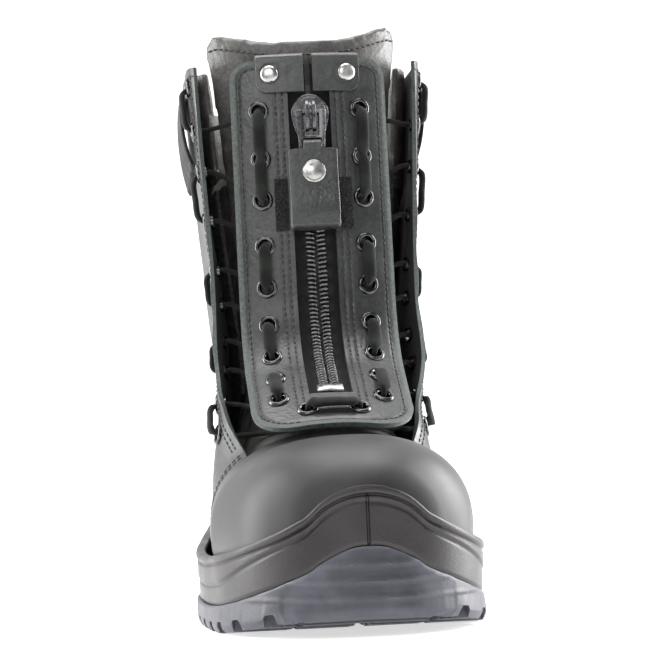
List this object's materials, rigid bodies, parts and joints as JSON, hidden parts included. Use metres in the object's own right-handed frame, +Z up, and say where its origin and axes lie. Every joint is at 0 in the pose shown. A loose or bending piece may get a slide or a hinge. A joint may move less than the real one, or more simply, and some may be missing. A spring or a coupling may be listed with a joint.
{
  "type": "firefighter boot",
  "caption": "Right tall laced leather firefighting boot with a zip panel in its lacing, a rubber toe cover, a padded tongue, side pull loops and a thick lugged sole.",
  "frame": {"origin": "on the ground under the middle of the boot's bounding box", "axes": "+Z up, toe towards -Y, inner (big toe) side of the right foot towards +X"},
  "size_m": [0.1172, 0.309, 0.264],
  "materials": {
    "leather": "full-grain, semi-matt",
    "soft_leather": "padded, matt",
    "rubber": "satin moulded rubber",
    "sole_rubber": "matt moulded rubber, grey",
    "foam": "textile-covered foam",
    "textile": "woven black textile",
    "board": "lasting board",
    "steel": "plain",
    "dark_metal": "gunmetal plated",
    "nickel": "nickel plated"
  },
  "bodies": {
    "boot": {"outsole": "sole_rubber", "midsole": "rubber", "shank": "steel", "insole_board": "board", "footbed": "foam", "vamp": "leather", "toe_cover": "rubber", "toe_cap": "steel", "lining": "textile", "heel_counter": "board", "ankle_foam_inner": "foam", "ankle_foam_outer": "foam", "collar": "soft_leather", "quarter_inner": "leather", "quarter_outer": "leather", "heel_cover": "rubber", "tongue": "soft_leather", "pull_loop_inner": "textile", "pull_loop_outer": "textile", "zip_panel": "leather", "zip_tape_inner": "textile", "zip_coil_inner": "dark_metal", "zip_tape_outer": "textile", "zip_coil_outer": "dark_metal", "zip_bottom_stop": "nickel", "top_tab_inner": "leather", "rivet_inner": "nickel", "hook_patch_inner": "textile", "top_tab_outer": "leather", "rivet_outer": "nickel", "hook_patch_outer": "textile", "lace": "textile", "eyelet_inner_1": "nickel", "eyelet_inner_2": "nickel", "eyelet_inner_3": "nickel", "eyelet_inner_4": "nickel", "eyelet_inner_5": "nickel", "eyelet_inner_6": "nickel", "eyelet_inner_7": "nickel", "eyelet_inner_8": "nickel", "eyelet_inner_9": "nickel", "eyelet_inner_foot": "nickel", "eyelet_outer_1": "nickel", "eyelet_outer_2": "nickel", "eyelet_outer_3": "nickel", "eyelet_outer_4": "nickel", "eyelet_outer_5": "nickel", "eyelet_outer_6": "nickel", "eyelet_outer_7": "nickel", "eyelet_outer_8": "nickel", "eyelet_outer_9": "nickel", "eyelet_outer_foot": "nickel"},
    "slider": {"slider": "dark_metal"},
    "puller": {"puller": "dark_metal"},
    "pull_tab": {"pull_tab": "leather", "snap_cap": "nickel", "snap_stud": "nickel"}
  },
  "joints": [
    {"name": "zip_slide", "type": "slide", "parent": "boot", "child": "slider", "axis": [0, -0.0698, -0.9976], "range_m": [0, 0.026]},
    {"name": "puller_lift", "type": "hinge", "parent": "slider", "child": "puller", "pos_m": [0, 0.0073, 0.22024], "axis": [-1, 0, 0], "range_deg": [0, 130]},
    {"name": "tab_swing", "type": "hinge", "parent": "puller", "child": "pull_tab", "pos_m": [0, 0.00621, 0.20468], "axis": [-1, 0, 0], "range_deg": [0, 45]}
  ]
}
